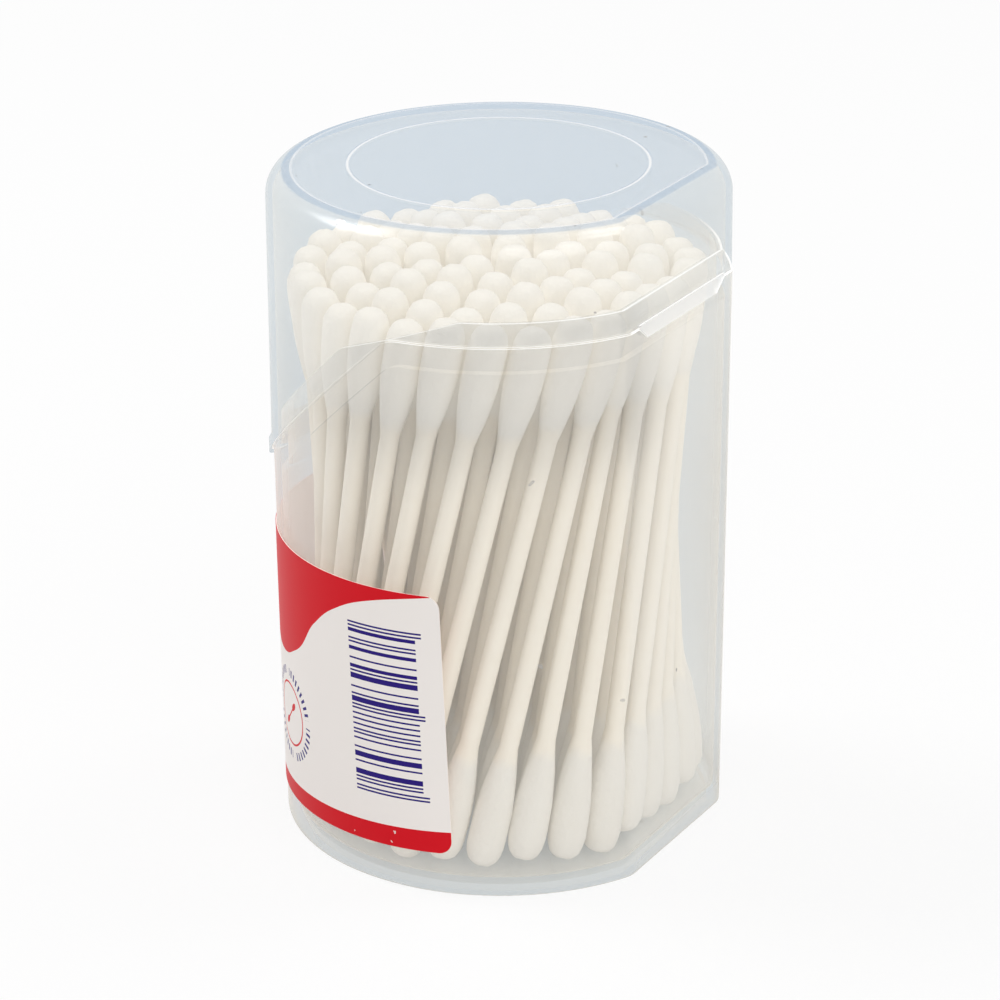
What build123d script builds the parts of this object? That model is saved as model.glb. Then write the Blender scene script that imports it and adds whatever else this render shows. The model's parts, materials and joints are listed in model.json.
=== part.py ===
from build123d import *
import os
from math import cos, pi, radians, sin, tan

# Round clear tub with one flat side, its flip lid on a moulded hinge strip, a wrap label and paper swabs.
# Millimetres. +Z is up, the hinge side faces +Y and the lid's low front edge faces -Y.

# Cotton swabs, whose length sets the height of the tub
swab_length = 76.0
head_radius = 2.35
head_length = 16.5
stick_radius = 1.15
swab_sides = 6

# Outer form of the closed tub
head_room = 14.0
lid_side_height = 14.4
rim_radius = 29.9
base_draft = 0.65
lid_step = 0.1
lid_draft = 0.25
flat_depth = 3.3
corner_radius = 3.7
top_fillet = 3.3
foot_fillet = 0.6

total_height = swab_length + head_room
parting_height = total_height - lid_side_height
base_radius = rim_radius - base_draft
lid_edge_radius = rim_radius + lid_step
lid_top_radius = lid_edge_radius - lid_draft
flat_distance = rim_radius - flat_depth

# Moulded wall
wall = 0.9
neck_wall = 0.8
neck_clearance = 0.25
parting_gap = 0.2
floor_thickness = 1.0
foot_recess = 1.0
foot_width = 1.8
floor_fillet = 1.2

# Parting line between lid and tub, seen from the side: level at the hinge, then falling to the front
parting_bend_y = 1.1
parting_slope_degrees = 42.7
parting_bend_radius = 4.0

# Neck that stands up inside the lid
neck_rise = 2.8
neck_front_rise = 4.1
neck_root_depth = 3.6
neck_ramp_y = 9.8
neck_shoulder_y = -6.65
neck_bend_radius = 3.0

# Hinge strip in the flat side, let in above and below the parting line
strip_rise = 0.5
strip_drop = 1.6
strip_width = 22.4
strip_thickness = 0.45
strip_corner_run = 2.0
strip_end_gap = 0.15

# Thumb lip along the lid's low front edge
lip_reach = 0.9
lip_height = 1.8
lip_half_angle = 40.0

# Raised ring on the lid's top
ring_radius = 19.25
ring_width = 0.7
ring_height = 0.2

# Wrap label
label_bottom = 5.9
label_lid_gap = 4.9
label_half_angle = 106.0
label_thickness = 0.15
label_glue = 0.03
label_corner = 1.8

# Bundle of swabs, in rows that follow the wall
swab_pitch = 5.3
inner_swab_pitch = 6.2
row_pitch = 5.0
loose_rows = 2
first_swab_share = 0.66
innermost_row_share = 0.5
bundle_clearance = 0.3
bundle_corner_share = 0.45
twist_share = 0.117
lift_range = 1.3
lift_step_share = 0.618

# Overrun of every cutting body past what it cuts
overrun = 5.0


def reach():
    """A length past the whole object."""
    return total_height + overrun


def turned(low_z, high_z, low_radius, high_radius):
    """Round solid, straight or tapered, between two heights."""
    half = Polygon((0, low_z), (low_radius, low_z), (high_radius, high_z), (0, high_z), align=None)
    return revolve(Plane.XZ * half, Axis.Z)


def d_solid(low_z, high_z, low_radius, high_radius, flat, corner):
    """Tapered round solid with one flat side, its two upright edges rounded."""
    height = high_z - low_z
    side = (Align.CENTER, Align.MIN, Align.MIN)
    body = turned(low_z, high_z, low_radius, high_radius)
    body -= Pos(0, flat, low_z) * Box(2 * reach(), reach(), height, align=side)
    uprights = [
        edge
        for edge in body.edges()
        if edge.bounding_box().size.Z > height / 2 and edge.center().Y > flat / 2
    ]
    return fillet(uprights, corner)


def fall(y_from, y_to):
    """How far the sloped part of the parting line drops between two places."""
    return (y_from - y_to) * tan(radians(parting_slope_degrees))


def parting_line():
    """Side view of the parting line as (y, z) points, from the hinge side to the front."""
    return [
        (reach(), parting_height),
        (parting_bend_y, parting_height),
        (-reach(), parting_height - fall(parting_bend_y, -reach())),
    ]


def neck_line():
    """Side view of the neck's top edge: level, a gentle ramp, then along the parting line."""
    shoulder_z = parting_height - fall(parting_bend_y, neck_shoulder_y) + neck_front_rise
    return [
        (reach(), parting_height + neck_rise),
        (neck_ramp_y, parting_height + neck_rise),
        (neck_shoulder_y, shoulder_z),
        (-reach(), shoulder_z - fall(neck_shoulder_y, -reach())),
    ]


def under(line, bend):
    """Everything below a side-view line, as a wide block."""
    top = FilletPolyline(*line, radius=bend)
    low = -2 * reach()
    rest = Polyline(line[-1], (line[-1][0], low), (line[0][0], low), line[0])
    section = make_face(Curve() + [top, rest])
    return extrude(Plane.YZ * section, amount=reach(), both=True)


def raised(line, rise):
    """The same side-view line, moved up."""
    return [(y, z + rise) for y, z in line]


def tub_radius(z):
    """Outer radius of the tub wall at a height."""
    return base_radius + (rim_radius - base_radius) * z / parting_height


def inner_lid_radius():
    """Smallest inner radius of the lid's skirt."""
    return lid_top_radius - wall


def neck_radius():
    """Outer radius of the neck."""
    return inner_lid_radius() - neck_clearance


def neck_flat():
    """Distance of the neck's flat outer face from the axis."""
    return flat_distance - wall - neck_clearance


def floor_top():
    """Height of the floor that the swabs stand on."""
    return foot_recess + floor_thickness


def strip_outline(low_z, high_z, end_gap=0):
    """Face of the hinge strip with its lower corners cut, or of its slot with a gap at both ends."""
    half = strip_width / 2 + end_gap
    right = [(half - strip_corner_run, low_z), (half, parting_height), (half, high_z)]
    left = [(-x, z) for x, z in reversed(right)]
    return Polygon(*right, *left, align=None)


def strip_plate(outline, inner_y, outer_y):
    """The outline as a plate between two distances from the axis."""
    return Pos(0, outer_y, 0) * extrude(Plane.XZ * outline, amount=outer_y - inner_y)


def tub_outside():
    """Outer form of the tub up to the parting line, with its neck."""
    lift = parting_height + neck_rise + overrun
    outside = d_solid(0, lift, base_radius, tub_radius(lift), flat_distance, corner_radius)
    outside = fillet(outside.faces().sort_by(Axis.Z)[0].edges(), foot_fillet)
    outside &= under(parting_line(), parting_bend_radius)
    corner = corner_radius - wall - neck_clearance
    neck = d_solid(floor_top(), lift, neck_radius(), neck_radius(), neck_flat(), corner)
    return outside + (neck & under(neck_line(), neck_bend_radius))


def tub_cavity():
    """Inside of the tub: wide below, stepped in where the neck starts."""
    lift = parting_height + neck_rise + 2 * overrun
    low, high = tub_radius(floor_top()) - wall, tub_radius(lift) - wall
    wide = d_solid(floor_top(), lift, low, high, flat_distance - wall, corner_radius - wall)
    wide = fillet(wide.faces().sort_by(Axis.Z)[0].edges(), floor_fillet)
    wide &= under(raised(parting_line(), -neck_root_depth), parting_bend_radius)
    bore = neck_radius() - neck_wall
    corner = corner_radius - wall - neck_clearance - neck_wall
    start = floor_top() + floor_fillet
    return wide + d_solid(start, lift, bore, bore, neck_flat() - neck_wall, corner)


def tub():
    """The moulded tub: wall, floor on a standing rim, neck, and the slot of the hinge strip."""
    body = tub_outside() - tub_cavity()
    inset = foot_width
    recess_radius = base_radius - inset
    recess = d_solid(
        -overrun, foot_recess, recess_radius, recess_radius, flat_distance - inset, corner_radius - inset
    )
    slot = strip_outline(parting_height - strip_drop, parting_height + overrun, strip_end_gap)
    return body - recess - strip_plate(slot, neck_flat(), flat_distance + overrun)


def hinge_strip():
    """The thin flexible strip between the tub's flat side and the lid's lower edge."""
    outline = strip_outline(parting_height - strip_drop, parting_height + strip_rise)
    return strip_plate(outline, flat_distance - strip_thickness, flat_distance)


def lid_shell():
    """Hollow cap with a rounded top edge, still reaching far down."""
    low = parting_height - fall(parting_bend_y, -lid_edge_radius) - overrun
    high = total_height - ring_height
    outside = d_solid(low, high, lid_edge_radius, lid_top_radius, flat_distance, corner_radius)
    outside = fillet(outside.faces().sort_by(Axis.Z)[-1].edges(), top_fillet)
    inside = d_solid(
        low,
        high - wall,
        lid_edge_radius - wall,
        inner_lid_radius(),
        flat_distance - wall,
        corner_radius - wall,
    )
    inside = fillet(inside.faces().sort_by(Axis.Z)[-1].edges(), top_fillet - wall)
    return outside, inside


def thumb_lip():
    """Low ledge round the front of the lid's edge, fading out to both sides."""
    front = lid_edge_radius + lip_reach
    narrow = lip_reach + lid_edge_radius * (1 - cos(radians(lip_half_angle)))
    shift = (front**2 - lid_edge_radius**2) / (2 * narrow)
    round_body = Pos(0, -shift, 0) * turned(0, total_height, front - shift, front - shift)
    edge = under(raised(parting_line(), parting_gap + lip_height), parting_bend_radius)
    behind = Box(2 * reach(), reach(), 2 * reach(), align=(Align.CENTER, Align.MIN, Align.CENTER))
    return (round_body & edge) - behind


def lid():
    """The flip lid: cap with a low front skirt, thumb lip and a raised ring on top."""
    outside, inside = lid_shell()
    outer_ring, inner_ring = ring_radius + ring_width / 2, ring_radius - ring_width / 2
    ring_low = total_height - 2 * ring_height
    ring = turned(ring_low, total_height, outer_ring, outer_ring)
    ring -= turned(ring_low, total_height, inner_ring, inner_ring)
    body = outside + ring + thumb_lip()
    below = under(raised(parting_line(), parting_gap), parting_bend_radius)
    slot = strip_outline(parting_height - strip_drop, parting_height + strip_rise, strip_end_gap)
    cut = strip_plate(slot, flat_distance - wall, flat_distance + overrun)
    return body - inside - below - cut


def label():
    """Thin wrap label round the front, its four corners rounded."""
    label_top = parting_height - fall(parting_bend_y, -lid_edge_radius) - label_lid_gap
    low, high = tub_radius(label_bottom) + label_glue, tub_radius(label_top) + label_glue
    sleeve = turned(label_bottom, label_top, low + label_thickness, high + label_thickness)
    sleeve -= turned(label_bottom, label_top, low, high)
    bare_angle = radians(label_half_angle) - radians(90)
    far = reach()
    side_x, side_y = far * cos(bare_angle), far * sin(bare_angle)
    bare = Polygon((0, 0), (side_x, side_y), (far, far), (-far, far), (-side_x, side_y), align=None)
    sleeve -= extrude(bare, amount=total_height)
    corners = [edge for edge in sleeve.edges() if edge.length < 2 * label_thickness]
    return fillet(corners, label_corner)


def outer_row_inset():
    """Distance from the neck's outer face to the middle of the swabs next to it."""
    return neck_wall + bundle_clearance + head_radius


def row_count():
    """As many rows as the room between the flat side and the axis holds."""
    room = neck_flat() - outer_row_inset() - innermost_row_share * head_radius
    return int(room // row_pitch) + 1


def row_line(inset):
    """Closed line that one row of swabs stands on, running round against the clock from the flat."""
    radius = neck_radius() - outer_row_inset() - inset
    flat = neck_flat() - outer_row_inset() - inset
    section = Circle(radius) - Pos(0, flat) * Rectangle(
        2 * reach(), reach(), align=(Align.CENTER, Align.MIN)
    )
    corners = section.vertices().filter_by(lambda corner: corner.Y > flat / 2)
    return fillet(corners, bundle_corner_share * radius).faces()[0].outer_wire()


def swab_sections():
    """Heights along a swab and its radius there, from its foot to its tip."""
    tip_length_shares = [0, 0.11, 0.6, 1]
    tip_radius_shares = [0.55, 1, 1, stick_radius / head_radius]
    foot = [
        (head_length * along, head_radius * across)
        for along, across in zip(tip_length_shares, tip_radius_shares)
    ]
    return foot + [(swab_length - height, radius) for height, radius in reversed(foot)]


def stacked(rings):
    """Solid with flat faces through a stack of rings of points, closed at both ends."""
    bands = [
        Face(Wire.make_polygon([low[side - 1], low[side], high[side], high[side - 1]]))
        for low, high in zip(rings, rings[1:])
        for side in range(len(low))
    ]
    ends = [Face(Wire.make_polygon(rings[0])), Face(Wire.make_polygon(rings[-1]))]
    return Solid(Shell(bands + ends))


def swab(foot, tip):
    """One swab: wound cotton head, paper stick, wound cotton head."""
    lean = Plane(origin=foot, z_dir=tip - foot)
    turns = [2 * pi * side / swab_sides for side in range(swab_sides)]
    return stacked(
        [
            [lean.from_local_coords((radius * cos(turn), radius * sin(turn), height)) for turn in turns]
            for height, radius in swab_sections()
        ]
    )


def swab_row(row):
    """All swabs of one row, each leaning round the bundle by the same turn."""
    line = row_line(row * row_pitch)
    pitch = swab_pitch if row + 1 < row_count() else inner_swab_pitch
    count = int(line.length // pitch)
    swabs = []
    for place in range(count):
        share = (place + row / 2 + first_swab_share) / count % 1
        low, high = line.position_at(share), line.position_at((share + twist_share) % 1)
        rise = (swab_length**2 - (high - low).length ** 2) ** 0.5
        lift = lift_range * ((place + row) * lift_step_share % 1)
        foot = low + Vector(0, 0, floor_top() + bundle_clearance + lift)
        swabs.append(swab(foot, Vector(high.X, high.Y, foot.Z + rise)))
    return swabs


def front_reach():
    """Distance from the axis to the front of the thumb lip."""
    return lid_edge_radius + lip_reach


def write(node, solid):
    """Put a piece in the object's frame, whose origin is the middle of the footprint, and write it."""
    to_frame = Pos(0, (front_reach() - flat_distance) / 2, 0)
    export_step(to_frame * solid, f"parts/{node}.step")


def main():
    os.makedirs("parts", exist_ok=True)
    write("tub", tub())
    write("lid", lid())
    write("hinge_strip", hinge_strip())
    write("label", label())
    rows = [swab_row(row) for row in range(row_count())]
    loose = [one for row in rows[:loose_rows] for one in row]
    for number, one in enumerate(loose, start=1):
        write(f"swab_{number:02d}", one)
    for number, row in enumerate(rows[loose_rows:], start=1):
        write(f"core_swabs_{number}", Compound(children=row))
    print("swabs in rows:", [len(row) for row in rows])


main()
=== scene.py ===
# %% [markdown]
# # A tub of cotton swabs
#
# The object is a frosted plastic tub with one flat side, a flip lid on a moulded hinge strip, a wrap label,
# and a bundle of paper swabs that lean round the tub like a twisted sheaf. The moulded pieces and the
# places of the swabs come from the frame. The looks are made here, cell by cell.

# %% Load the frame and keep its box
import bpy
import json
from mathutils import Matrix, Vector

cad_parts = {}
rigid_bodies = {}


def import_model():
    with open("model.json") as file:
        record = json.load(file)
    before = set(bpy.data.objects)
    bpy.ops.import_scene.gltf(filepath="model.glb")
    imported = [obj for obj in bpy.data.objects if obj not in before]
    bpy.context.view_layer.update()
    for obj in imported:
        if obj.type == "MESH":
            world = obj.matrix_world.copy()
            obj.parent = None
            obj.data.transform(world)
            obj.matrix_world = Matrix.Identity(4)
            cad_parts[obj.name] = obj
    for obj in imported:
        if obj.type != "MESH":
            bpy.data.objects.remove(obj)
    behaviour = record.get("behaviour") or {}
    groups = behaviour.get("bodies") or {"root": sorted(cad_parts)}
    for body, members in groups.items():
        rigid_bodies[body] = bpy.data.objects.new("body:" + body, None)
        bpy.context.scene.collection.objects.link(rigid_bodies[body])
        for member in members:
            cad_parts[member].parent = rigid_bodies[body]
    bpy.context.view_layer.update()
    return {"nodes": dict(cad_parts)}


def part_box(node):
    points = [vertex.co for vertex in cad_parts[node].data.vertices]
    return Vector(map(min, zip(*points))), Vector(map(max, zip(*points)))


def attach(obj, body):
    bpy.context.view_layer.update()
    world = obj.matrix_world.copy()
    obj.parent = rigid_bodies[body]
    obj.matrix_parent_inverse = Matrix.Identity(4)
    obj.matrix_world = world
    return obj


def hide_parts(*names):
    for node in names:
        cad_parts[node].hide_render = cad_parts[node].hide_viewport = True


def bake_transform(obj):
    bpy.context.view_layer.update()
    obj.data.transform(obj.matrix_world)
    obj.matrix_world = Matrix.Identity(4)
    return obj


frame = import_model()

# %% Tools for the whole script
import json
from math import atan2, cos, hypot, pi, radians, sin

import bpy
import numpy as np
from mathutils import Matrix, Vector

mm = 0.001


def direction(turn, height):
    """Which way a turn round the tub and a height above its foot point, both in radians."""
    return Vector((cos(turn) * cos(height), sin(turn) * cos(height), sin(height)))


# %% [markdown]
# ## Camera
#
# A product picture is taken with a long lens from a step back and a little above. The camera is placed by
# its own distance, turn and height round the tub, and rolls by less than a degree, as a hand-set tripod does.

# %% Camera at the picture's viewing angle
axis_y = 2.15 * mm
aim = Vector((0, axis_y, 43.39 * mm))
camera_turn, camera_height, camera_roll = radians(30.35), radians(22.626), radians(-0.447)
camera_distance = 505.0 * mm
camera_lens, camera_sensor = 137.97, 36.0
camera_shift = -0.0014, 0.0001

toward = direction(camera_turn, camera_height)
level_right = Vector((-sin(camera_turn), cos(camera_turn), 0))
level_up = toward.cross(level_right)
right = cos(camera_roll) * level_right + sin(camera_roll) * level_up
up = cos(camera_roll) * level_up - sin(camera_roll) * level_right

camera_data = bpy.data.cameras.new("camera")
camera_data.lens, camera_data.sensor_width = camera_lens, camera_sensor
camera_data.shift_x, camera_data.shift_y = camera_shift
camera = bpy.data.objects.new("camera", camera_data)
stance = Matrix((right, up, toward)).transposed().to_4x4()
camera.matrix_world = Matrix.Translation(aim + toward * camera_distance) @ stance
bpy.context.scene.collection.objects.link(camera)
bpy.context.scene.camera = camera
print("camera stands at", [round(place, 3) for place in camera.matrix_world.translation])

# %% [markdown]
# ## Picking things by code
#
# An operator acts on whatever is selected, so each step first lets go of everything and then takes hold of
# one object, or of the faces of one object that pass a test of their place and normal.

# %% Helpers that take hold of objects and faces
same_place = 0.0005 * mm


def take(*objects):
    """Select these objects alone, the last one active."""
    if bpy.context.object and bpy.context.object.mode != "OBJECT":
        bpy.ops.object.mode_set(mode="OBJECT")
    for thing in bpy.context.scene.objects:
        thing.select_set(False)
    for thing in objects:
        thing.select_set(True)
    bpy.context.view_layer.objects.active = objects[-1]


def pick_faces(piece, test):
    """In edit mode, with only the faces selected whose middle and normal pass the test."""
    take(piece)
    bpy.ops.object.mode_set(mode="EDIT")
    bpy.ops.mesh.select_mode(type="FACE")
    bpy.ops.mesh.select_all(action="DESELECT")
    bpy.ops.object.mode_set(mode="OBJECT")
    count = 0
    for face in piece.data.polygons:
        face.select = test(face.center, face.normal)
        count += face.select
    bpy.ops.object.mode_set(mode="EDIT")
    return count


def paint_faces(piece, slot_number, test):
    """Give the faces that pass the test the material in a slot."""
    count = pick_faces(piece, test)
    piece.active_material_index = slot_number
    bpy.ops.object.material_slot_assign()
    bpy.ops.object.mode_set(mode="OBJECT")
    return count


def smooth(piece, angle):
    """Shade round stretches smooth and keep edges sharper than the angle."""
    take(piece)
    bpy.ops.object.shade_smooth_by_angle(angle=radians(angle))


def copy_of_node(node, name):
    """A free copy of a CAD node's mesh, its loose triangles merged, so that it can be shaded and painted."""
    piece = bpy.data.objects.new(name, frame["nodes"][node].data.copy())
    bpy.context.scene.collection.objects.link(piece)
    piece.data.materials.clear()
    take(piece)
    if piece.data.has_custom_normals:
        bpy.ops.mesh.customdata_custom_splitnormals_clear()
    bpy.ops.object.mode_set(mode="EDIT")
    bpy.ops.mesh.select_all(action="SELECT")
    bpy.ops.mesh.remove_doubles(threshold=same_place)
    bpy.ops.object.mode_set(mode="OBJECT")
    return piece


# %% [markdown]
# ## Shader maths as plain sums
#
# A procedural material is mostly arithmetic on a place: is this point inside the red band, how far is it
# from the ring. Writing one node and link per sum is long to read, so a small class wraps a node's output
# and lets Python's own signs add the Math nodes.

# %% A socket that understands sums, and a material that adds nodes
class Wire:
    """One output of a shader node. A sign between two wires, or a wire and a number, adds a Math node."""

    def __init__(self, tree, output):
        self.tree, self.output = tree, output

    def math(self, operation, *others):
        """Add the Math node of an operation on this wire and the others."""
        return self.tree.node("ShaderNodeMath", {"operation": operation}, dict(enumerate([self, *others])))

    def __add__(self, other):
        return self.math("ADD", other)

    def __sub__(self, other):
        return self.math("SUBTRACT", other)

    def __rsub__(self, other):
        return self.tree.node("ShaderNodeMath", {"operation": "SUBTRACT"}, {0: other, 1: self})

    def __mul__(self, other):
        return self.math("MULTIPLY", other)

    def __truediv__(self, other):
        return self.math("DIVIDE", other)

    def __lt__(self, other):
        return self.math("LESS_THAN", other)

    def __gt__(self, other):
        return self.math("GREATER_THAN", other)

    def __pow__(self, other):
        return self.math("POWER", other)

    def __abs__(self):
        return self.math("ABSOLUTE")

    def __and__(self, other):
        return self.math("MINIMUM", other)

    def __or__(self, other):
        return self.math("MAXIMUM", other)

    __radd__, __rmul__ = __add__, __mul__


class Tree:
    """A node tree being filled, of a material or of the world."""

    def __init__(self, tree):
        self.tree = tree

    def node(self, kind, settings=None, values=None, output=0):
        """Add a node: its settings first, then the numbers or wires of its inputs. Gives one output."""
        made = self.tree.nodes.new(kind)
        for setting, value in (settings or {}).items():
            if setting == "points":
                self.set_points(made.mapping, value)
            else:
                setattr(made, setting, value)
        for socket, value in (values or {}).items():
            if isinstance(value, Wire):
                self.tree.links.new(value.output, made.inputs[socket])
            else:
                made.inputs[socket].default_value = value
        return Wire(self, made.outputs[output])

    def set_points(self, mapping, points):
        """The points that a smooth curve passes through, from left to right."""
        curve = mapping.curves[0].points
        while len(curve) < len(points):
            curve.new(1, 1)
        for point, place in zip(curve, points):
            point.location = place
        mapping.update()

    def ray(self, kind):
        """What Light Path knows of the ray that asks."""
        return self.node("ShaderNodeLightPath", output=kind)

    def looking_ray(self):
        """1 for a ray that sees, straight, mirrored or through glass, and 0 for one that gathers light."""
        return self.ray("Is Camera Ray") | self.ray("Is Glossy Ray") | self.ray("Is Transmission Ray")

    def place(self):
        """The object's own coordinates, as a vector and as x, y and z in metres."""
        vector = self.node("ShaderNodeTexCoord", output="Object")
        split = self.node("ShaderNodeSeparateXYZ", values={0: vector}).output.node
        return vector, *(Wire(self, split.outputs[letter]) for letter in "XYZ")

    def blend(self, factor, low, high):
        """One colour fading into another."""
        return self.node("ShaderNodeMix", {"data_type": "RGBA"}, {0: factor, 6: low, 7: high}, output=2)

    def fade(self, wire, start, end):
        """0 before the start, 1 past the end, and a smooth climb between them."""
        values = {"Value": wire, "From Min": start, "From Max": end}
        return self.node("ShaderNodeMapRange", {"interpolation_type": "SMOOTHSTEP"}, values)

    def attribute(self, name):
        """A number stored on the piece's own points."""
        return self.node("ShaderNodeAttribute", {"attribute_name": name}, output="Fac")

    def noise(self, vector, scale, detail, roughness=0.5):
        """Soft random grey, about even round a half."""
        values = {"Vector": vector, "Scale": scale, "Detail": detail, "Roughness": roughness}
        return self.node("ShaderNodeTexNoise", values=values)


class Paint(Tree):
    """A material being mixed, with its Principled shader and the constants set on it.

    Where a paint glows, it glows faintly, so no light ray is aimed at it.
    """

    def __init__(self, name, constants):
        self.material = bpy.data.materials.new(name)
        self.material.use_nodes = True
        super().__init__(self.material.node_tree)
        self.material.cycles.emission_sampling = "NONE"
        self.shader = self.tree.nodes["Principled BSDF"]
        for socket, value in constants.items():
            self.shader.inputs[socket].default_value = value

    def feed(self, socket, wire):
        """Let a wire drive one of the shader's own sockets."""
        self.tree.links.new(wire.output, self.shader.inputs[socket])

    def bump(self, height, distance, strength):
        """Fine relief from a grey value."""
        values = {"Height": height, "Distance": distance, "Strength": strength}
        self.feed("Normal", self.node("ShaderNodeBump", values=values))


# %% [markdown]
# ## Light and floor
#
# The picture has a plain white sweep, a high soft box on each side, which leave soft highlights on the round
# edge of the lid, and a wide soft box in front. The floor shows white to the camera, with only a share of
# the object's own shadow left on it.
#
# Cloudy plastic scatters part of the light that comes through it, so the white sweep looks greyer behind it
# than beside it. Light Path's Transparent Depth tells the sweep that it is seen through plastic.

# %% World
world = bpy.data.worlds.new("studio")
bpy.context.scene.world = world
world.use_nodes = True
world_level = 0.46
sweep_white, veiled_white = (1, 1, 1, 1), (0.54, 0.645, 0.74, 1)


def sweep_colour(tree):
    """White in plain view, greyed where cloudy plastic stands before it."""
    return tree.blend(tree.ray("Is Camera Ray") & tree.ray("Transparent Depth"), sweep_white, veiled_white)


sky = Tree(world.node_tree)
brightness = sky.looking_ray() * (1 - world_level) + world_level
background = world.node_tree.nodes["Background"]
world.node_tree.links.new(sweep_colour(sky).output, background.inputs["Color"])
world.node_tree.links.new(brightness.output, background.inputs["Strength"])
print("sweep gives", world_level, "of its brightness as light")


# %% Soft boxes and floor
def add_soft_box(name, turn, height, size, power, distance=0.95):
    """A soft box at a turn and a height in degrees, looking at the tub."""
    data = bpy.data.lights.new(name, "AREA")
    data.shape, data.size, data.size_y, data.energy = "RECTANGLE", *size, power
    lamp = bpy.data.objects.new(name, data)
    away = direction(radians(turn), radians(height))
    lamp.location = aim + away * distance
    lamp.rotation_euler = away.to_track_quat("Z", "Y").to_euler()
    bpy.context.scene.collection.objects.link(lamp)


add_soft_box("left_soft_box", -80, 50, (0.34, 0.44), 3.3)
add_soft_box("right_soft_box", 139, 60, (0.26, 0.36), 1.8)
add_soft_box("front_soft_box", 52, 30, (2.2, 1.8), 13.5, distance=1.8)

floor_size, floor_grey, floor_glow_share = 6.0, (0.9, 0.9, 0.9, 1), 0.85


def floor_finish():
    """A matt floor that shows mostly as the plain sweep, and keeps a share of the shadow on it."""
    paint = Paint("floor_white", {"Base Color": floor_grey, "Roughness": 0.9, "Specular IOR Level": 0.0})
    glow = paint.node("ShaderNodeEmission", values={"Color": sweep_colour(paint), "Strength": 1.0})
    matt = Wire(paint, paint.shader.outputs[0])
    share = paint.looking_ray() * floor_glow_share
    mixed = paint.node("ShaderNodeMixShader", values={0: share, 1: matt, 2: glow})
    paint.tree.links.new(mixed.output, paint.tree.nodes["Material Output"].inputs["Surface"])
    return paint.material


take(camera)
bpy.ops.mesh.primitive_plane_add(size=floor_size, location=(0, 0, 0))
floor = bpy.context.object
floor.name = "floor"
floor.data.materials.append(floor_finish())
print("soft boxes and floor ready")

# %% [markdown]
# ## Cotton and paper
#
# A swab's stick is rolled paper: smooth, matt and creamy. Its ends are wound cotton, whiter than the stick
# and covered in fine fibres, which a bump of fine noise gives better than real hairs would at this size.
# Light also passes through wound cotton and fills its shadows, which a faint painted glow of its own colour
# stands in for, strongest on the tips under the clear top, where more light falls.
# The cotton thins out over the stick with no hard line, so both are one material, and a number stored on the
# swab's points says how much of the surface is cotton.

# %% Swab finish
cotton_shades = (0.765, 0.725, 0.65, 1), (0.79, 0.76, 0.695, 1)
paper_shades = (0.895, 0.82, 0.69, 1), (0.935, 0.875, 0.76, 1)
# painted glow: stands in for light passing through the cotton, weaker toward the foot, where less light falls
cotton_painted_glow, no_glow, painted_glow_strength = (0.98, 0.94, 0.85, 1), (0, 0, 0, 1), 0.17
painted_glow_rise, painted_glow_foot_share = (58, 70), 0.35
edge_scale, fibre_scale, lump_scale, paper_scale = 500, 1500, 300, 700
edge_raggedness, cotton_edge = 0.5, (0.45, 0.95)
paper_roughness, cotton_rougher = 0.7, 0.25
fibre_share, paper_fibre_share, fibre_depth, fibre_strength = 0.5, 0.08, 0.3 * mm, 0.8


def swab_paint():
    """Cotton or paper, as the number stored on the swab's points says."""
    sheen = {"Specular IOR Level": 0.15, "Sheen Weight": 0.15, "Sheen Roughness": 0.6}
    paint = Paint("cotton_and_paper", {**sheen, "Emission Strength": painted_glow_strength})
    vector, _, _, z = paint.place()
    ragged = paint.attribute("cotton_share") + paint.noise(vector, edge_scale, detail=2) * edge_raggedness
    cotton = paint.fade(ragged, *cotton_edge)
    fibres = paint.noise(vector, fibre_scale, detail=5, roughness=0.65)
    lumps = paint.noise(vector, lump_scale, detail=2)
    cotton_colour = paint.blend(lumps, *cotton_shades)
    paper_colour = paint.blend(paint.noise(vector, paper_scale, detail=3), *paper_shades)
    # painted glow of the cotton, weaker toward the foot where less light falls
    glow = cotton * (paint.fade(z / mm, *painted_glow_rise) * (1 - painted_glow_foot_share) + painted_glow_foot_share)
    paint.feed("Base Color", paint.blend(cotton, paper_colour, cotton_colour))
    paint.feed("Emission Color", paint.blend(glow, no_glow, cotton_painted_glow))
    paint.feed("Roughness", cotton * cotton_rougher + paper_roughness)
    relief = (fibres * fibre_share + lumps) * cotton + fibres * paper_fibre_share
    paint.bump(relief, fibre_depth, fibre_strength)
    return paint.material


swab_finish = swab_paint()
print("swab finish of", len(swab_finish.node_tree.nodes), "nodes")

# %% [markdown]
# ## One swab
#
# A swab is nearly a turned shape, so it grows from one small disc: the disc is extruded step by step up the
# swab and scaled to the next radius. The head swells behind its round tip and thins out into the stick. The
# second half mirrors the first.

# %% Model one upright swab
swab_length = 76 * mm
head_length = 16.5 * mm
head_radius = 2.5 * mm
stick_radius_share = 0.5
swab_sides = 18
thinning_share = 0.25
head_height_shares = [0, 0.012, 0.045, 0.10, 0.18, 0.32, 0.48, 0.62, 0.76, 0.90, 1.0]
head_radius_shares = [0.34, 0.56, 0.78, 0.92, 0.99, 1.0, 0.97, 0.89, 0.76, 0.60, stick_radius_share]


def swab_profile():
    """Heights and radii from the foot to the tip."""
    shares = zip(head_height_shares, head_radius_shares)
    foot = [(head_length * high, head_radius * wide) for high, wide in shares]
    return foot + [(swab_length - height, radius) for height, radius in reversed(foot)]


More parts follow.
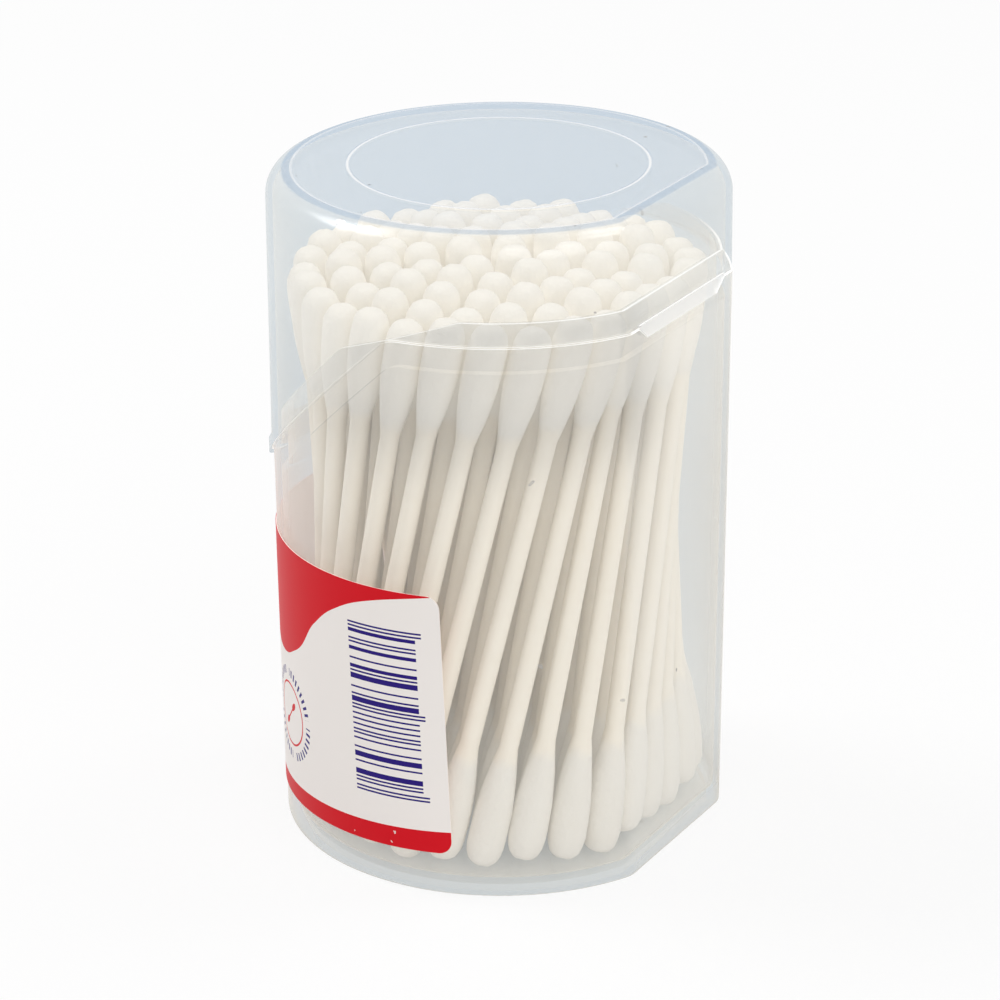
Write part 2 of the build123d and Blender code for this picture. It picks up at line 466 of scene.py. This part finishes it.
def model_swab():
    """Extrude a disc along the profile, and close both ends."""
    profile = swab_profile()
    take(camera)
    bpy.ops.mesh.primitive_circle_add(vertices=swab_sides, radius=profile[0][1], fill_type="NGON")
    swab = bpy.context.object
    bpy.ops.object.mode_set(mode="EDIT")
    bpy.ops.mesh.select_mode(type="FACE")
    bpy.ops.mesh.select_all(action="SELECT")
    for (height, radius), (next_height, next_radius) in zip(profile, profile[1:]):
        bpy.ops.mesh.extrude_region_move(TRANSFORM_OT_translate={"value": (0, 0, next_height - height)})
        grow = next_radius / radius
        bpy.ops.transform.resize(value=(grow, grow, 1), center_override=(0, 0, next_height))
    bpy.ops.mesh.select_all(action="SELECT")
    bpy.ops.mesh.normals_make_consistent(inside=False)
    bpy.ops.object.mode_set(mode="OBJECT")
    swab.data.materials.append(swab_finish)
    store_cotton_share(swab)
    print("swab faces", len(swab.data.polygons))
    return swab


def store_cotton_share(swab):
    """1 on the full head, falling to 0 where the cotton ends on the stick."""
    heights = [corner.co.z for corner in swab.data.vertices]
    from_end = [min(height, swab_length - height) / head_length for height in heights]
    shares = [min(1.0, max(0.0, (1 - place) / thinning_share)) for place in from_end]
    swab.data.attributes.new("cotton_share", "FLOAT", "POINT").data.foreach_set("value", shares)


master_swab = model_swab()

# %% [markdown]
# ## The bundle
#
# The bundle's places come from the frame: each CAD swab is a slim straight solid, so the middle of its points
# and their longest direction give its line. A copy of the swab is roughened a little where it is cotton, by a
# seeded chance, turned about itself by a step that doesn't repeat, and laid on that line.

# %% Read the lines of the swabs from the frame
def swab_lines(node):
    """Middle and upward direction of each separate solid in a CAD node."""
    parts = copy_of_node(node, "swab_guide")
    bpy.ops.object.mode_set(mode="EDIT")
    bpy.ops.mesh.separate(type="LOOSE")
    bpy.ops.object.mode_set(mode="OBJECT")
    lines = []
    for guide in list(bpy.context.selected_objects):
        points = np.array([corner.co for corner in guide.data.vertices])
        middle = points.mean(axis=0)
        along = np.linalg.svd(points - middle, full_matrices=False)[2][0]
        lines.append((Vector(middle), Vector(along * np.sign(along[2]))))
        bpy.data.objects.remove(guide)
    return sorted(lines, key=lambda line: tuple(line[0]))


swab_nodes = sorted(name for name in frame["nodes"] if "swab" in name)
bundle = [(node, *line) for node in swab_nodes for line in swab_lines(node)]
print("swabs in the bundle", len(bundle))


# %% Lay a copy of the swab on each line
unevenness = 0.05 * mm
turn_step = 2.4
swab_smoothing = 40


def is_cotton(place, normal):
    """Of a face of the upright swab: it lies on one of the two heads."""
    return not head_length < place.z < swab_length - head_length


def lay_swab(number, node, middle, along):
    """One swab of the bundle, with its own turn and its own slightly uneven cotton."""
    mesh = master_swab.data.copy()
    piece = bpy.data.objects.new(f"cotton_swab_{number:02d}", mesh)
    bpy.context.scene.collection.objects.link(piece)
    pick_faces(piece, is_cotton)
    bpy.ops.transform.vertex_random(offset=unevenness, uniform=0.3, normal=0.5, seed=number)
    bpy.ops.object.mode_set(mode="OBJECT")
    turn = Matrix.Rotation(number * turn_step, 4, "Z")
    stand = along.to_track_quat("Z", "Y").to_matrix().to_4x4()
    mesh.transform(Matrix.Translation(middle) @ stand @ turn @ Matrix.Translation((0, 0, -swab_length / 2)))
    smooth(piece, swab_smoothing)
    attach(piece, "tub")
    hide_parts(node)


for number, (node, middle, along) in enumerate(bundle, start=1):
    lay_swab(number, node, middle, along)
bpy.data.objects.remove(master_swab)
print("laid", len(bundle), "swabs")

# %% [markdown]
# ## Frosted plastic
#
# The tub and the lid are thin cloudy polypropylene. A thin cloudy wall acts like a veil: part of what is
# behind it comes through, the rest is the plastic's own pale haze, on the tub warmed by painted light from
# the cotton behind.
# Mixing by Alpha gives just that, and the haze thickens where the wall is seen at a slant, which Layer Weight
# tells.
# Real haze passes most light on inwards, so the veil is thinner for light on its way to the swabs.
#
# Cut edges and moulded lines are painted as fine white lines of light, a painted highlight that is fainter on
# the far side.
# Above the label the wall has a painted reddish reflection of the red print. The neck has painted shade on
# the near side, and the plate of the lid is clearer and bluer than the walls. Heights and distances are in
# mm.

# %% Plastic colours and sizes
# the tub's haze is the plastic's pale cloud warmed by painted light from the cotton behind it
tub_haze_with_painted_cotton_light, foot_haze, neck_painted_shade = (0.90, 0.875, 0.80, 1), (0.74, 0.70, 0.60, 1), (0.30, 0.30, 0.28, 1)
painted_red_reflection, ledge_haze = (0.90, 0.66, 0.59, 1), (0.60, 0.60, 0.57, 1)
lid_haze, plate_haze, painted_brow_reflection = (0.80, 0.815, 0.785, 1), (0.24, 0.40, 0.66, 1), (0.19, 0.33, 0.50, 1)
line_white, speck_grey = (0.95, 0.95, 0.94, 1), (0.16, 0.15, 0.14, 1)

foot_rise, neck_shade_rise, neck_shade_side = (1.0, 7.0), (52, 65), (13, 27)
painted_red_reflection_side, painted_red_reflection_fall = (6, 24), (38, 62)
ring_radius, ring_half_width = 19.25, 0.3
plate_radius, plate_flat, plate_low, plate_overlap, rim_half_width = 26.45, 23.3, 89.4, 0.1, 0.22
painted_brow_start, painted_brow_width = 0.3, 1.5
wall_radius, wall_flat, neck_depth = 29.9, 26.6, 1.45
outer_inset, outer_half_width, inner_half_width = 0.1, 0.24, 0.35
far_fall = -2, -14
line_core_share, painted_brow_core_share = 0.3, 0.7

foot_denser, neck_shade_denser, line_denser, painted_brow_denser, speck_denser = 0.22, 0.10, 0.5, 0.36, 0.5
plate_thinner, let_in_share, highlight_far_fading = 0.09, 0.9, 0.85
rim_strength, inner_strength, edge_alpha, edge_clear_alpha = 0.7, 0.8, 0.85, 0.08
grain_scale, speck_level, grain_depth, grain_strength = 420, 0.80, 0.03 * mm, 0.15
slant_bend, edge_painted_glow = 0.3, 0.22


# %% Plastic finishes
def thin_line(paint, distance, half_width):
    """A soft line where a distance passes through zero."""
    return 1 - paint.fade(abs(distance), half_width * line_core_share, half_width)


def round_axis(x, y):
    """How far in mm a point is from the tub's axis, and how far along toward the flat side."""
    across, along = x / mm, (y - axis_y) / mm
    return (across * across + along * along).math("SQRT"), along


def near_side(x, y):
    """How far in mm a point lies toward the side that the picture shows."""
    return (x * cos(camera_turn) + y * sin(camera_turn)) / mm


def lid_moulding(paint, place, colour, alpha):
    """Colour and density of a lid wall, with its flat plate, fine lines of painted highlight and a painted
    dark reflection on the brow of its round edge.
    """
    x, y, z = place
    radius, along = round_axis(x, y)
    past_rim = (radius - plate_radius) | (along - plate_flat)
    top = z / mm > plate_low
    plate = top & (past_rim < plate_overlap)
    # painted highlight: the ring and the rim line are whitened and made denser as fine lines of light
    ring = thin_line(paint, radius - ring_radius, ring_half_width)
    lines = top & (ring | (thin_line(paint, past_rim, rim_half_width) * rim_strength))
    # painted reflection: a dark blue band on the round edge just past the rim line
    painted_brow_end = paint.fade(past_rim, painted_brow_width * painted_brow_core_share, painted_brow_width)
    painted_brow = top & (paint.fade(past_rim, 0, painted_brow_start) * (1 - painted_brow_end))
    colour = paint.blend(painted_brow, paint.blend(plate, colour, plate_haze), painted_brow_reflection)
    alpha = alpha - plate * plate_thinner + lines * line_denser + painted_brow * painted_brow_denser
    return paint.blend(lines, colour, line_white), alpha


def tub_moulding(paint, place, colour, alpha):
    """Colour and density of a tub wall: denser at its foot, with painted shade in its neck on the near side,
    and a painted reddish reflection of the label above it.
    """
    x, y, z = place
    foot = 1 - paint.fade(z / mm, *foot_rise)
    # painted reflection: the red print's light tints the wall just above the label
    painted_red_reflection_mask = paint.fade(y / -mm, *painted_red_reflection_side) * (1 - paint.fade(z / mm, *painted_red_reflection_fall))
    # painted shade: the neck is greyer and denser on the near side, where the lid shades it
    neck_shade = paint.fade(z / mm, *neck_shade_rise) * paint.fade(near_side(x, y), *neck_shade_side)
    colour = paint.blend(neck_shade, paint.blend(painted_red_reflection_mask, colour, painted_red_reflection), neck_painted_shade)
    return paint.blend(foot, colour, foot_haze), alpha + neck_shade * neck_shade_denser + foot * foot_denser


def frosted_paint(name, haze, face_on, slanted, moulding=None):
    """A cloudy wall: its haze, how dense it is face on, how much denser at a slant, and what is moulded."""
    paint = Paint(name, {"Roughness": 0.22, "IOR": 2.3, "Specular IOR Level": 1.0})
    vector, *place = paint.place()
    grain = paint.noise(vector, grain_scale, detail=1)
    specks = grain > speck_level
    slant = paint.node("ShaderNodeLayerWeight", values={"Blend": slant_bend}, output="Facing")
    alpha = slant * slant * slanted + face_on
    if moulding:
        haze, alpha = moulding(paint, place, haze, alpha)
    paint.feed("Base Color", paint.blend(specks, haze, speck_grey))
    inward = paint.ray("Is Shadow Ray") | paint.ray("Is Diffuse Ray")
    paint.feed("Alpha", ((alpha + specks * speck_denser) & 1.0) * (1 - inward * let_in_share))
    paint.bump(grain, grain_depth, grain_strength)
    return paint.material


def edge_paint():
    """A cut edge, clear but for its two corners, painted as fine lines of light: a painted highlight with a
    faint painted glow, fading on the far side.
    """
    paint = Paint("edge_plastic", {"Roughness": 0.3, "Emission Strength": edge_painted_glow})
    _, x, y, _ = paint.place()
    radius, along = round_axis(x, y)
    past_wall = (radius - wall_radius) | (along - wall_flat)
    outer = thin_line(paint, past_wall + outer_inset, outer_half_width)
    inner = thin_line(paint, past_wall + neck_depth, inner_half_width) * inner_strength
    # painted highlight: the corner lines glow faintly and fade on the far side
    far = paint.fade(near_side(x, y), *far_fall)
    painted_corner_lines = (outer | inner) * (1 - far * highlight_far_fading)
    paint.feed("Base Color", paint.blend(painted_corner_lines, tub_haze_with_painted_cotton_light, line_white))
    paint.feed("Emission Color", paint.blend(painted_corner_lines, no_glow, line_white))
    paint.feed("Alpha", painted_corner_lines * edge_alpha + edge_clear_alpha)
    return paint.material


tub_plastic = frosted_paint("tub_plastic", tub_haze_with_painted_cotton_light, face_on=0.11, slanted=1.0, moulding=tub_moulding)
lid_plastic = frosted_paint("lid_plastic", lid_haze, face_on=0.11, slanted=0.50, moulding=lid_moulding)
ledge_plastic = frosted_paint("ledge_plastic", ledge_haze, face_on=0.13, slanted=0.0)
strip_plastic = frosted_paint("strip_plastic", line_white, face_on=0.40, slanted=0.20)
edge_plastic = edge_paint()
for finish in (tub_plastic, lid_plastic, ledge_plastic, strip_plastic, edge_plastic):
    print(finish.name, "of", len(finish.node_tree.nodes), "nodes")

# %% [markdown]
# ## Tub and lid
#
# Both are finished shapes in the frame, so a copy of each is merged, shaded smooth over its round stretches
# and painted. Faces are told apart by place and normal: the tub's cut edges look up, the lid's and the ledge
# under the neck look down, and all of them lie above the label.

# %% Tub
parting_height = 75.6 * mm
parting_reach = 1 * mm
above_label = 40 * mm
level_enough = 0.3
edge_slot, ledge_slot = 1, 2
wall_smoothing = 24


def is_cut_edge(middle, normal):
    """Of a face of the tub: it looks up, and lies above the label."""
    return normal.z > level_enough and middle.z > above_label


def is_ledge(middle, normal):
    """Of a face of the tub: it looks down, and lies above the label."""
    return normal.z < -level_enough and middle.z > above_label


def is_lid_edge(middle, normal):
    """Of a face of the lid: it looks down, and lies no higher than the parting line's top."""
    return normal.z < -level_enough and middle.z < parting_height + parting_reach


tub = copy_of_node("tub", "frosted_tub")
smooth(tub, wall_smoothing)
for finish in (tub_plastic, edge_plastic, ledge_plastic):
    tub.data.materials.append(finish)
cut = paint_faces(tub, edge_slot, is_cut_edge)
ledge = paint_faces(tub, ledge_slot, is_ledge)
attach(tub, "tub")
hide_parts("tub")
print("tub faces", len(tub.data.polygons), "of its cut edges", cut, "and of its inner ledge", ledge)

# %% Lid
lid = copy_of_node("lid", "flip_lid")
smooth(lid, wall_smoothing)
lid.data.materials.append(lid_plastic)
lid.data.materials.append(edge_plastic)
cut = paint_faces(lid, edge_slot, is_lid_edge)
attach(lid, "lid")
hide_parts("lid")
print("lid faces", len(lid.data.polygons), "of its cut edge", cut)

# %% [markdown]
# ## Hinge strip
#
# The strip is a thin plate moulded in one with tub and lid, which whitens where it bends. It has to bend
# when the lid turns, so it is cut into many narrow rows.

# %% Hinge strip
strip_low, strip_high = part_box("hinge_strip")
strip_middle = (strip_low + strip_high) / 2
strip_rows = 24
strip_foot_share = 18.4 / 22.4
strip_smoothing = 30


def is_strip_foot(middle, normal):
    """Of a face of the strip: it looks down."""
    return normal.z < -level_enough


take(camera)
bpy.ops.mesh.primitive_cube_add(size=1, location=strip_middle, scale=strip_high - strip_low)
strip = bpy.context.object
strip.name = "flexing_strip"
bpy.ops.object.transform_apply(location=True, rotation=True, scale=True)
bpy.ops.object.mode_set(mode="EDIT")
bpy.ops.mesh.select_all(action="SELECT")
bpy.ops.mesh.bisect(plane_co=(0, 0, parting_height), plane_no=(0, 0, 1))
pick_faces(strip, is_strip_foot)
bpy.ops.transform.resize(value=(strip_foot_share, 1, 1), center_override=tuple(strip_middle))
for row in range(1, strip_rows):
    height = strip_low.z + (strip_high.z - strip_low.z) * row / strip_rows
    bpy.ops.mesh.select_all(action="SELECT")
    bpy.ops.mesh.bisect(plane_co=(0, 0, height), plane_no=(0, 0, 1))
bpy.ops.object.mode_set(mode="OBJECT")
strip.data.materials.append(strip_plastic)
smooth(strip, strip_smoothing)
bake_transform(strip)
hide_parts("hinge_strip")
print("strip faces", len(strip.data.polygons))

# %% [markdown]
# ## Printed label
#
# The label is coated paper, thin enough that some light comes through to its bare back, shown by a painted
# pinkish glow. Its print is worked out from two numbers: the angle round the tub in degrees, with the front
# at -90, and the height in mm.
# A red arch hangs from the top, a red band runs along the foot, and a bar pattern of made-up widths stands
# at the end, with a round mark of dashes beside it.

# %% Label colours and sizes
red, ink, white = (0.66, 0.003, 0.012, 1), (0.020, 0.007, 0.18, 1), (0.89, 0.845, 0.81, 1)
scuff_white, paper_back_painted_light, back_painted_glow = (0.80, 0.66, 0.63, 1), (0.95, 0.84, 0.81, 1), 0.3
label_radius, front_turn, seam_turn = 29.5, -90.0, 90.0
wall_draft, wall_foot_radius, label_middle = 0.65 / 75.6, 29.25, 0.1
skew, lift, pivot_turn, pivot_height = radians(2.0), 0.15, 16.0, 24.0
flare, flare_height = 0.014, 6.0

arch_span, arch_low, arch_depth = 103.5, 26.5, 15.8
arch_turn_shares = [0, 0.24, 0.425, 0.524, 0.643, 0.724, 0.832, 1]
arch_rise_shares = [0.36, 0.17, 0, 0.10, 0.49, 0.70, 0.86, 0.975]
band_low, band_rise, band_bend = 6.9, 0.15, 0.565

bars_from, bars_to, bars_left, bars_right, guard_right = 13.0, 36.8, -10.3, 9.4, 11.0
bar_modules, bar_seed, bar_chance, quiet_modules = 95, 203.5, 0.5, 2.5

mark_turn, mark_height, mark_circle, circle_half_width = -41.4, 18.0, 4.36, 0.14
dash_inner, dash_outer, dash_count, dash_group, dash_half_width, group_gap = 5.4, 6.5, 40, 10, 0.21, 0.12
mark_stick_reach, mark_stick_half_width = 2.0, 0.13
mark_head_place, mark_head_reach, mark_head_half_width = 1.9, 0.85, 0.42
half_diagonal = 0.707

scuff_scale, scuff_level, patch_scale, patch_level = 900, 0.70, 110, 0.62
ripple_scale, ripple_depth, ripple_strength = 120, 0.1 * mm, 0.15
label_smoothing = 30


# %% Label print
def arch_and_band(paint, turn, height):
    """The red arch that hangs from the top and the red band along the foot, alike to both sides."""
    away = abs(turn - front_turn)
    points = list(zip(arch_turn_shares, arch_rise_shares))
    share = paint.node("ShaderNodeFloatCurve", {"points": points}, {"Value": away / arch_span})
    arch = height > share * arch_depth + arch_low
    return arch | (height < (away ** band_bend) * band_rise + band_low)


def bar_pattern(paint, turn, height):
    """Bars of made-up widths, with longer pairs at both ends and in the middle."""
    module = ((height - bars_from) * (bar_modules / (bars_to - bars_from))).math("FLOOR")
    chance = paint.node("ShaderNodeTexWhiteNoise", {"noise_dimensions": "1D"}, {"W": module + bar_seed})
    inside = (height > bars_from) & (height < bars_to) & (turn > bars_left)
    bars, long_bars, quiet = chance > bar_chance, None, None
    for middle in (1, (bar_modules - 1) / 2, bar_modules - 2):
        apart = abs(module - middle)
        pair, space = apart.math("COMPARE", 1.0, 0.1), apart < quiet_modules
        long_bars = pair if long_bars is None else long_bars | pair
        quiet = space if quiet is None else quiet | space
    return inside & (((turn < bars_right) & bars & (1 - quiet)) | ((turn < guard_right) & long_bars))


def round_mark(turn, height):
    """A plain round mark: a thin circle, a ring of dashes and a small swab that slants in its middle."""
    across, rise = (turn - mark_turn) * (pi / 180 * label_radius), height - mark_height
    distance = (across * across + rise * rise).math("SQRT")
    circle = abs(distance - mark_circle) < circle_half_width
    along, side = (across + rise) * half_diagonal, (across - rise) * half_diagonal
    from_head, from_side = (abs(along) - mark_head_place) / mark_head_reach, side / mark_head_half_width
    stick = (abs(along) < mark_stick_reach) & (abs(side) < mark_stick_half_width)
    swab = (from_head ** 2 + from_side ** 2 < 1.0) | stick
    sweep = rise.math("ARCTAN2", across) * (dash_count / (2 * pi))
    in_ring = (distance > dash_inner) & (distance < dash_outer)
    dashes = in_ring & (sweep.math("PINGPONG", 0.5) < dash_half_width)
    return circle | swab, dashes & ((sweep / dash_group).math("FRACT") > group_gap)


def label_places(x, y, z):
    """Turn in degrees and height in mm on the label as printed, before it was stuck on askew."""
    turn, height = (y - axis_y).math("ARCTAN2", x) * (180 / pi), z / mm
    turn = turn - (turn > seam_turn) * 360
    straight_turn = turn + (height - pivot_height) * (skew * 180 / pi / label_radius)
    return straight_turn, height - lift - (turn - pivot_turn) * (skew * label_radius * pi / 180)


def label_paint():
    """Print on the outer face and, on the back, bare paper with a painted glow of light coming through, which
    the radius tells apart.
    """
    coated = {"Roughness": 0.45, "Specular IOR Level": 0.12, "Emission Strength": back_painted_glow}
    paint = Paint("label_print", coated)
    vector, x, y, z = paint.place()
    turn, height = label_places(x, y, z)
    radius, _ = round_axis(x, y)
    back = radius - z * (wall_draft / mm) < wall_foot_radius + label_middle
    field = arch_and_band(paint, turn, height)
    red_mark, ink_mark = round_mark(turn, height)
    fine_scuffs = paint.noise(vector, scuff_scale, detail=4) > scuff_level
    scuffs = fine_scuffs & (paint.noise(vector, patch_scale, detail=1) > patch_level)
    print_colour = paint.blend(field | red_mark, white, red)
    print_colour = paint.blend(bar_pattern(paint, turn, height) | ink_mark, print_colour, ink)
    print_colour = paint.blend(scuffs & field, print_colour, scuff_white)
    # painted light: the back is a pinkish paper colour with a faint glow, for light coming through the label
    paint.feed("Base Color", paint.blend(back, print_colour, paper_back_painted_light))
    paint.feed("Emission Color", paint.blend(back, no_glow, paper_back_painted_light))
    paint.bump(paint.noise(vector, ripple_scale, detail=1), ripple_depth, ripple_strength)
    return paint.material


# %% [markdown]
# The label is stuck on a little askew: it is turned by two degrees about its right end, on the wall. On a
# round wall that is a rise along the way round and a turn along the height, which a loop over its points
# does. It is also a little taller toward its far end.

# %% Label on the tub
def skew_label(piece):
    """Turn the label on the tapering wall about its right end, and flare it toward the other end."""
    for corner in piece.data.vertices:
        across, along, height = corner.co.x, corner.co.y - axis_y, corner.co.z
        radius, turn = hypot(across, along), (atan2(along, across) - pi / 2) % (2 * pi) - 3 * pi / 2
        past_pivot = turn - radians(pivot_turn)
        rise = past_pivot * radius * skew + lift * mm
        rise -= past_pivot * (height - flare_height * mm) * flare
        turn -= (height - pivot_height * mm) * skew / radius
        radius += rise * wall_draft
        corner.co = (radius * cos(turn), axis_y + radius * sin(turn), height + rise)


label = copy_of_node("label", "wrap_label")
skew_label(label)
smooth(label, label_smoothing)
label.data.materials.append(label_paint())
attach(label, "tub")
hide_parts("label")
print("label faces", len(label.data.polygons))

# %% Colours as written, and the end
bpy.context.scene.view_settings.view_transform = "Standard"
